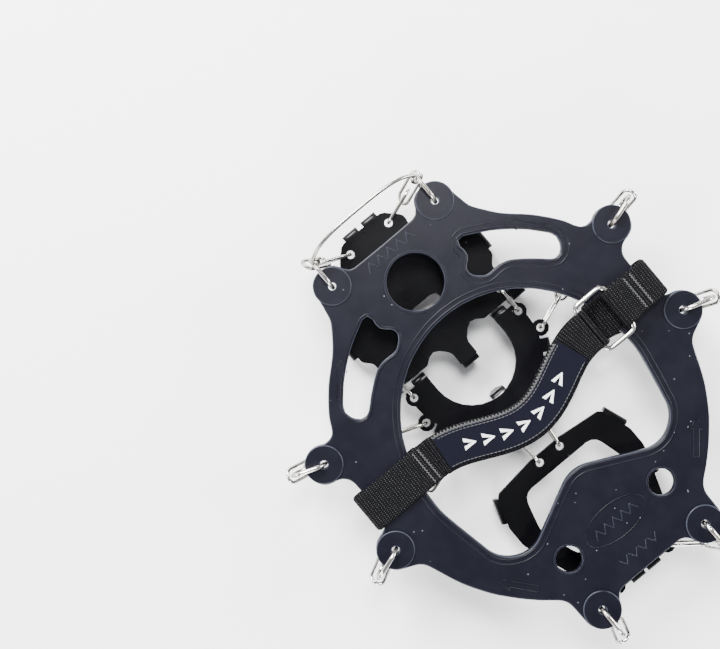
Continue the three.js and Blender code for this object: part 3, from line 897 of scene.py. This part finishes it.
def wire_piece(name, members, wire, body, weld=0.04):
    frames = [loop_frame(node) for node in members]
    points = bpy.data.meshes.new("points")
    points.from_pydata([f[0] for f in frames], [], [])
    turns = points.attributes.new("turn", "FLOAT_VECTOR", "POINT")
    for i, (_, turn, _) in enumerate(frames):
        turns.data[i].vector = turn
    size = frames[0][2]
    width, length = float(size[0]) - 2 * wire, float(size[1]) - 2 * wire
    mesh = grown(points, WIRE_LOOPS, Width=width, Length=length, Corner=width / 2,
                 Wire=wire, Weld=weld, Material=WIRE)
    return piece(name, mesh, WIRE, body, members)


# %% Rings and chain strands
RING_WIRE, LINK_WIRE = 1.02 * MM, 0.8 * MM
for place in PLACES:
    for side in SIDES:
        spot = f"{place}_{side}"
        wire_piece(f"eyelet_ring_{spot}", [f"ring_{spot}"], RING_WIRE, f"ring_{spot}")
        links = sorted(n for n in nodes if n.startswith(f"link_{spot}_"))
        wire_piece(f"chain_{spot}", links, LINK_WIRE, f"strand_{spot}")
for name in ("link_toe_ball", "link_ball_heel"):
    wire_piece(f"{name}_wire", [f"{name}_{side}" for side in SIDES], LINK_WIRE, "ball_plate")

# %% [markdown]
# The buckle is heavier wire with small corners. The toe bail is a thin spring wire
# with an eye at each end that rides on the front rings.

# %% Buckle
BUCKLE_WIRE, BUCKLE_CORNER = 1.15 * MM, 3 * MM
buckle_low, buckle_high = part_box("buckle")
buckle_size = buckle_high - buckle_low
buckle_points = bpy.data.meshes.new("points")
buckle_points.from_pydata([(buckle_low + buckle_high) / 2], [], [])
buckle_mesh = grown(
    buckle_points, WIRE_LOOPS, Width=buckle_size.x - 2 * BUCKLE_WIRE,
    Length=buckle_size.y - 2 * BUCKLE_WIRE, Corner=BUCKLE_CORNER, Wire=BUCKLE_WIRE,
    Weld=0.0, Material=WIRE)
piece("wire_buckle", buckle_mesh, WIRE, "buckle", ["buckle"])

# %% Toe bail
BAIL_WIRE, BAIL_EYE, BAIL_REACH, BAIL_BULGE, BAIL_LIFT = 0.85, 2.6, 5.4, 10, 59
BAIL_X = 30


def bail_points():
    """One half of the bail in its own plane, from the eye to the middle."""
    eye = []
    for degrees in range(340, 99, -15):
        turn = math.radians(degrees)
        eye.append((BAIL_X + BAIL_EYE * math.cos(turn), BAIL_REACH + BAIL_EYE * math.sin(turn)))
    half = eye + [(23, BAIL_REACH + BAIL_BULGE * 0.75), (11, BAIL_REACH + BAIL_BULGE)]
    return half + [(-x, y) for x, y in reversed(half)]


def wire_along(points, radius):
    data = bpy.data.curves.new("wire", "CURVE")
    data.dimensions = "3D"
    data.bevel_depth = radius
    data.bevel_resolution = 4
    data.use_fill_caps = True
    spline = data.splines.new("POLY")
    spline.points.add(len(points) - 1)
    for target, p in zip(spline.points, points):
        target.co = (*p, 1)
    return smooth_sides(baked(data))


def flowing(points, step):
    """Evenly spaced points on a smooth curve through the given points."""
    ends = [points[0] * 2 - points[1], *points, points[-1] * 2 - points[-2]]
    dense = []
    for a, b, c, d in zip(ends, ends[1:], ends[2:], ends[3:]):
        for k in range(12):
            t = k / 12
            dense.append(0.5 * (2 * b + (c - a) * t + (2 * a - 5 * b + 4 * c - d) * t * t
                                + (3 * b - a - 3 * c + d) * t ** 3))
    dense.append(points[-1])
    even, left = [dense[0]], step
    for a, b in zip(dense, dense[1:]):
        span = (b - a).length
        while span >= left:
            a = a.lerp(b, left / span)
            even.append(a)
            span = (b - a).length
            left = step
        left -= span
    return even


bail_hinge = Vector(joints["toe_bail_swing"]["pos_m"])
bail_turn = Matrix.Rotation(math.radians(BAIL_LIFT), 3, "X")
bail_path = [bail_hinge + bail_turn @ (Vector((x, y, 0)) * MM) for x, y in bail_points()]
bail_mesh = wire_along(flowing(bail_path, 0.8 * MM), BAIL_WIRE * MM)
piece("toe_bail_wire", bail_mesh, WIRE, "toe_bail", ["toe_bail"])

# %% [markdown]
# Webbing bends only along its length, so each strap is a flat band swept along a
# smooth route. The route repeats the design's own sizes: round the arm, over the
# gap in a shallow bow, and round a bar of the buckle.

# %% Routes of the webbing
WEB, GAP, STRAP_Y, STRAP_BOW, STRAP_SPAN = 1.6, 0.35, 6, 13, 44
ARM_IN, ARM_OUT, ARM_HALF = 54.5, 81.8, 3.1
BAR_IN, BAR_OUT, BAR_Z, FOLD_R, LOOP_R = 45.2, 61.6, 36, 2.6, 2.5
MID = 28.5


def bow(x):
    t = min(1, abs(x) / STRAP_SPAN)
    return STRAP_Y - STRAP_BOW * (0.5 + 0.5 * math.cos(math.pi * t))


def arch(x):
    return 31.9 + 3.6 * math.cos(math.pi * (x - 6) / 124) ** 2


def arc(x, z, radius, first, last, count):
    turns = [math.radians(first + (last - first) * i / count) for i in range(count + 1)]
    return [(x + radius * math.cos(t), z + radius * math.sin(t)) for t in turns]


def strap_route():
    under = [(x, arch(x) - WEB - GAP) for x in (-41, -47)]
    inner = [(x + 1.6, z - 0.4) for x, z in arc(-ARM_IN + 1.5, MID - 0.2, 2.6, 20, -90, 3)]
    outer = arc(-ARM_OUT + 1.2, MID, ARM_HALF, 270, 90, 7)
    over = [(x, arch(x)) for x in range(-50, 39, 8)]
    return under + inner + outer + over + arc(BAR_IN, BAR_Z, FOLD_R, -90, 90, 8)


def tail_z(x):
    t = min(1, max(0, (BAR_IN - x) / 14))
    level = arch(x) + WEB + GAP
    top = BAR_Z + FOLD_R
    return top + (level - top) * t * t * (3 - 2 * t)


def loop_route():
    first = MID + ARM_HALF
    sleeve = BAR_Z - LOOP_R
    over = sleeve + WEB + GAP
    inner = arc(ARM_IN - 1.5, MID, ARM_HALF, 90, 270, 7)
    outer = arc(ARM_OUT - 1.2, MID, ARM_HALF, -90, 20, 5)
    back = [(ARM_OUT + 1.2, over - 2.4), (ARM_OUT - 1.8, over - 0.3), (74, over), (68, over + 0.4)]
    bar = arc(BAR_OUT, BAR_Z, LOOP_R, 90, 270, 8)
    return [(72, first), (64, first), *inner, *outer, *back, (65, BAR_Z + 1.9), *bar, (69, sleeve)]


def in_space(route):
    return [at(x, bow(x), z) for x, z in route]


print("strap route", len(strap_route()), "points")

# %% Directions along a band


def directions(path, i):
    """Ahead along the path, and level across the band, at one of its points."""
    ahead = (path[min(i + 1, len(path) - 1)] - path[max(i - 1, 0)]).normalized()
    return ahead, (Vector((0, 1, 0)) - ahead * ahead.y).normalized()


def upward(ahead):
    return (Vector((0, 0, 1)) - ahead * ahead.z).normalized()


# %% Sweeping a band
SIDE_STEPS = 22
FLAT_SHARE = 0.93


def band(path, width, thick, first=0.0):
    """A flat woven band along a path, with its length and breadth stored on it."""
    bm = bmesh.new()
    along = bm.verts.layers.float.new("along")
    across = bm.verts.layers.float.new("across")
    rings, run = [], first
    for i, here in enumerate(path):
        if i:
            run += (here - path[i - 1]).length
        ahead, side = directions(path, i)
        face = ahead.cross(side)
        ring = []
        for top in (1, -1):
            for k in range(SIDE_STEPS + 1):
                v = top * (1 - 2 * k / SIDE_STEPS)
                edge = max(0, (abs(v) - FLAT_SHARE) / (1 - FLAT_SHARE))
                lift = top * thick / 2 * math.sqrt(max(0.04, 1 - edge * edge))
                vert = bm.verts.new(here + side * v * width / 2 + face * lift)
                vert[along] = run
                vert[across] = v * width / 2
                ring.append(vert)
        rings.append(ring)
    for near, far in zip(rings, rings[1:]):
        for k in range(len(near)):
            j = (k + 1) % len(near)
            bm.faces.new((near[k], far[k], far[j], near[j]))
    bm.faces.new(rings[0])
    bm.faces.new(rings[-1][::-1])
    return smooth_sides(from_bmesh(bm))


# %% [markdown]
# The ribs of the webbing repeat all the way along, so a Geometry Nodes tree raises
# them: it pushes the surface out along its normal by a wave of the stored length.

# %% Geometry Nodes: ribs


def make_ribs():
    inputs = [("Geometry", "Geometry"), ("Pitch", "Float", 1.3 * MM), ("Depth", "Float", 0.25 * MM)]
    inputs += [("Edge", "Float", 8.4 * MM), ("Material", "Material")]
    tree, given, out = new_tree("webbing_ribs", "GeometryNodeTree", inputs, [("Geometry", "Geometry")])
    along = add(tree, "GeometryNodeInputNamedAttribute", {"Name": "along"}, data_type="FLOAT").outputs[0]
    across = add(tree, "GeometryNodeInputNamedAttribute", {"Name": "across"}, data_type="FLOAT").outputs[0]
    rows = math_of(tree, "MULTIPLY", math_of(tree, "DIVIDE", along, given["Pitch"]), math.pi)
    wave = math_of(tree, "POWER", math_of(tree, "ABSOLUTE", math_of(tree, "SINE", rows)), 0.6)
    inside = math_of(tree, "LESS_THAN", math_of(tree, "ABSOLUTE", across), given["Edge"])
    rise = math_of(tree, "MULTIPLY", math_of(tree, "MULTIPLY", wave, inside), given["Depth"])
    normal = add(tree, "GeometryNodeInputNormal").outputs[0]
    push = add(tree, "ShaderNodeVectorMath", {0: normal, "Scale": rise}, operation="SCALE")
    moved = add(tree, "GeometryNodeSetPosition",
                {"Geometry": given["Geometry"], "Offset": push.outputs[0]})
    real = add(tree, "GeometryNodeRealizeInstances", {0: moved.outputs[0]})
    done = add(tree, "GeometryNodeSetMaterial",
               {"Geometry": real.outputs[0], "Material": given["Material"]})
    tree.links.new(done.outputs[0], out["Geometry"])
    return tree


RIBS = make_ribs()
RIB_PITCH, RIB_DEPTH, ROUTE_STEP = 1.3 * MM, 0.2 * MM, 0.325 * MM
STRAP_WIDE = 18.6 * MM
BARE = WEB * MM - 2 * RIB_DEPTH


def webbing(path, width):
    return grown(band(path, width, BARE), RIBS, Pitch=RIB_PITCH, Depth=RIB_DEPTH,
                 Edge=width / 2 * FLAT_SHARE, Material=WEBBING)


# %% The straps
strap_path = flowing(in_space(strap_route()), ROUTE_STEP)
piece("lacing_webbing", webbing(strap_path, STRAP_WIDE), WEBBING, "harness", ["lacing_strap"])
loop_path = flowing(in_space(loop_route()), ROUTE_STEP)
piece("buckle_webbing", webbing(loop_path, STRAP_WIDE), WEBBING, "harness", ["buckle_loop"])

TAIL_FROM, TAIL_TO = BAR_IN - 0.1, -43
tail_route = [(x, tail_z(x)) for x in np.linspace(TAIL_FROM, TAIL_TO, 40)]
tail_path = flowing(in_space(tail_route), ROUTE_STEP)
tail = piece("tail_webbing", webbing(tail_path, STRAP_WIDE), WEBBING, None, ["strap_tail"])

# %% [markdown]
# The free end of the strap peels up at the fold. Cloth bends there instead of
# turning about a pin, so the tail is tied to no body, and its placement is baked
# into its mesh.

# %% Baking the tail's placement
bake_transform(tail)

# %% The woven label
LABEL_WIDE, LABEL_THICK, LABEL_FROM, LABEL_TO = 15.5 * MM, 0.7 * MM, 33.5, -40.5
LABEL_LIFT = WEB / 2 + 0.3 + 0.4
label_route = [(x, tail_z(x) + LABEL_LIFT) for x in np.linspace(LABEL_FROM, LABEL_TO, 36)]
label_path = flowing(in_space(label_route), 0.5 * MM)
label_mesh = band(label_path, LABEL_WIDE, LABEL_THICK)
piece("woven_label_band", label_mesh, LABEL, "strap_tail", ["woven_label"])

# %% [markdown]
# Stitches and woven marks are small shapes repeated along the strap. The next tree
# sets a shape on evenly spaced points of a path, lines it up with the path and
# leans every second one the other way, which makes a zigzag.

# %% Geometry Nodes: a row of small shapes


def make_rows():
    inputs = [("Geometry", "Geometry"), ("Shape", "Object"), ("Pitch", "Float", 1.5 * MM)]
    inputs += [("Lean", "Float", 0.0), ("Material", "Material")]
    tree, given, out = new_tree("shape_rows", "GeometryNodeTree", inputs, [("Geometry", "Geometry")])
    line = add(tree, "GeometryNodeMeshToCurve", {"Mesh": given["Geometry"]})
    even = add(tree, "GeometryNodeResampleCurve",
               {"Curve": line.outputs[0], "Length": given["Pitch"]}, mode="LENGTH")
    ahead = add(tree, "GeometryNodeInputTangent").outputs[0]
    facing = add(tree, "FunctionNodeAlignRotationToVector", {"Vector": ahead}, axis="X")
    level = add(tree, "FunctionNodeAlignRotationToVector",
                {"Rotation": facing.outputs[0], "Vector": (0, 0, 1)}, axis="Z", pivot_axis="X")
    number = add(tree, "GeometryNodeInputIndex").outputs[0]
    odd = math_of(tree, "MODULO", number, 2.0)
    sign = math_of(tree, "MULTIPLY_ADD", odd, 2.0, -1.0)
    lean = add(tree, "ShaderNodeCombineXYZ", {"Z": math_of(tree, "MULTIPLY", sign, given["Lean"])})
    spin = add(tree, "FunctionNodeEulerToRotation", {0: lean.outputs[0]})
    both = add(tree, "FunctionNodeRotateRotation",
               {"Rotation": level.outputs[0], "Rotate By": spin.outputs[0]}, rotation_space="LOCAL")
    shape = add(tree, "GeometryNodeObjectInfo", {"Object": given["Shape"]})
    copies = add(tree, "GeometryNodeInstanceOnPoints",
                 {"Points": even.outputs[0], "Instance": shape.outputs["Geometry"],
                  "Rotation": both.outputs[0]})
    real = add(tree, "GeometryNodeRealizeInstances", {0: copies.outputs[0]})
    done = add(tree, "GeometryNodeSetMaterial",
               {"Geometry": real.outputs[0], "Material": given["Material"]})
    tree.links.new(done.outputs[0], out["Geometry"])
    return tree


ROWS = make_rows()
print("tree", ROWS.name)

# %% Shapes for the rows


def stitch_shape(length, radius):
    """One raised stitch: a short pod with pointed ends, lying along X."""
    bm = bmesh.new()
    rings = []
    for t in (-1, -0.7, 0, 0.7, 1):
        girth = radius * math.sqrt(max(0.05, 1 - t * t))
        turns = [math.tau * k / 6 for k in range(6)]
        ring = [(t * length / 2, girth * math.cos(a), girth * math.sin(a)) for a in turns]
        rings.append([bm.verts.new(p) for p in ring])
    for near, far in zip(rings, rings[1:]):
        for k in range(6):
            bm.faces.new((near[k], far[k], far[(k + 1) % 6], near[(k + 1) % 6]))
    bm.faces.new(rings[0])
    bm.faces.new(rings[-1][::-1])
    return smooth_sides(from_bmesh(bm))


def offset_path(route, across, lift, step=1.0):
    """A line on the face of a band: a distance from its middle and above it."""
    path = flowing(in_space(route), step * MM)
    moved = []
    for i, here in enumerate(path):
        ahead, side = directions(path, i)
        moved.append(here + side * across * MM + upward(ahead) * lift * MM)
    return moved


def row_of(paths, shape_mesh, pitch, lean, material):
    bm = bmesh.new()
    for path in paths:
        verts = [bm.verts.new(p) for p in path]
        for a, b in zip(verts, verts[1:]):
            bm.edges.new((a, b))
    line = bpy.data.meshes.new("line")
    bm.to_mesh(line)
    bm.free()
    holder = held(shape_mesh, "shape")
    mesh = grown(line, ROWS, Shape=holder, Pitch=pitch, Lean=lean, Material=material)
    bpy.data.objects.remove(holder)
    return mesh


# %% Stitching on the tail and its label
label_face = LABEL_LIFT + 0.35
ZIGZAG_Y, ZIGZAG_LIFT, PAST_FOLD = 8.2, 0.95, 6
edge_rows = [offset_path(tail_route[PAST_FOLD:-1], ZIGZAG_Y, ZIGZAG_LIFT)]
zigzag = row_of(edge_rows, stitch_shape(2.2 * MM, 0.32 * MM), 0.8 * MM, math.radians(62), DARK_THREAD)
piece("zigzag_stitches", zigzag, DARK_THREAD, "strap_tail")

label_rows = [offset_path([(x, z - LABEL_LIFT) for x, z in label_route[1:-1]], y, label_face)
              for y in (7.0, -7.0)]
edging = row_of(label_rows, stitch_shape(1.5 * MM, 0.17 * MM), 1.75 * MM, 0.0, DARK_THREAD)
piece("label_stitches", edging, DARK_THREAD, "strap_tail")

# %% [markdown]
# A row of pale chevrons is woven into the label, where a maker would put a name.
# Each is two satin bars, so the shape itself is made of a few parallel ridges.

# %% Pale marks on the label


def satin_chevron(size, thick, high):
    bm = bmesh.new()
    outer, inner = size / 2, size / 2 - thick
    for sign in (1, -1):
        for z, grow in ((-high, 0), (high * 0.5, 0), (high, thick * 0.18)):
            low = inner - thick * 0.2
            points = [(-outer + grow, sign * grow), (outer - grow, sign * (outer - grow)),
                      (outer - grow, sign * (low + grow)), (-low, sign * grow)]
            for x, y in points:
                bm.verts.new((x, y, z))
    bm.verts.ensure_lookup_table()
    for start in (0, 12):
        for low in (start, start + 4):
            for k in range(4):
                j = (k + 1) % 4
                bm.faces.new([bm.verts[i] for i in (low + k, low + j, low + 4 + j, low + 4 + k)])
        bm.faces.new([bm.verts[start + 8 + k] for k in range(4)])
        bm.faces.new([bm.verts[start + k] for k in (3, 2, 1, 0)])
    return from_bmesh(bm)


mark_route = [(x, z - LABEL_LIFT) for x, z in label_route if -29.5 < x < 22]
MARK_COUNT = 7
mark_path = offset_path(mark_route, 0, label_face - 0.05)
mark_run = sum((b - a).length for a, b in zip(mark_path, mark_path[1:]))
chevrons = row_of([mark_path], satin_chevron(5.6 * MM, 1.5 * MM, 0.22 * MM),
                  mark_run / (MARK_COUNT - 0.5), 0.0, PALE_THREAD)
piece("label_marks", chevrons, PALE_THREAD, "strap_tail")

# %% [markdown]
# Where a strap is sewn back on itself, a box of dense stitches holds it. Short
# rows across the band stand for these bar tacks.

# %% Bar tacks


def tack_rows(route, lift, count=3):
    """Rows across the band at the middle of a short stretch of a route."""
    path = flowing(in_space(route), 0.5 * MM)
    rows = []
    for k in range(count):
        i = int((k + 0.5) / count * (len(path) - 1))
        ahead, side = directions(path, i)
        up = upward(ahead) * lift * MM
        steps = [side * (v * MM) for v in np.linspace(-7.8, 7.8, 20)]
        rows.append([path[i] + up + s for s in steps])
    return rows


left_sewn = [(x, arch(x)) for x in (-52, -49, -46)]
right_sewn = [(76, BAR_Z - LOOP_R + WEB + GAP), (72, BAR_Z - LOOP_R + WEB + GAP), (69, BAR_Z - 0.3)]
tacks = tack_rows(left_sewn, 0.78, 2) + tack_rows(right_sewn, 0.78, 2)
tack_mesh = row_of(tacks, stitch_shape(1.3 * MM, 0.2 * MM), 0.7 * MM, math.radians(50), DARK_THREAD)
piece("bar_tacks", tack_mesh, DARK_THREAD, "harness")
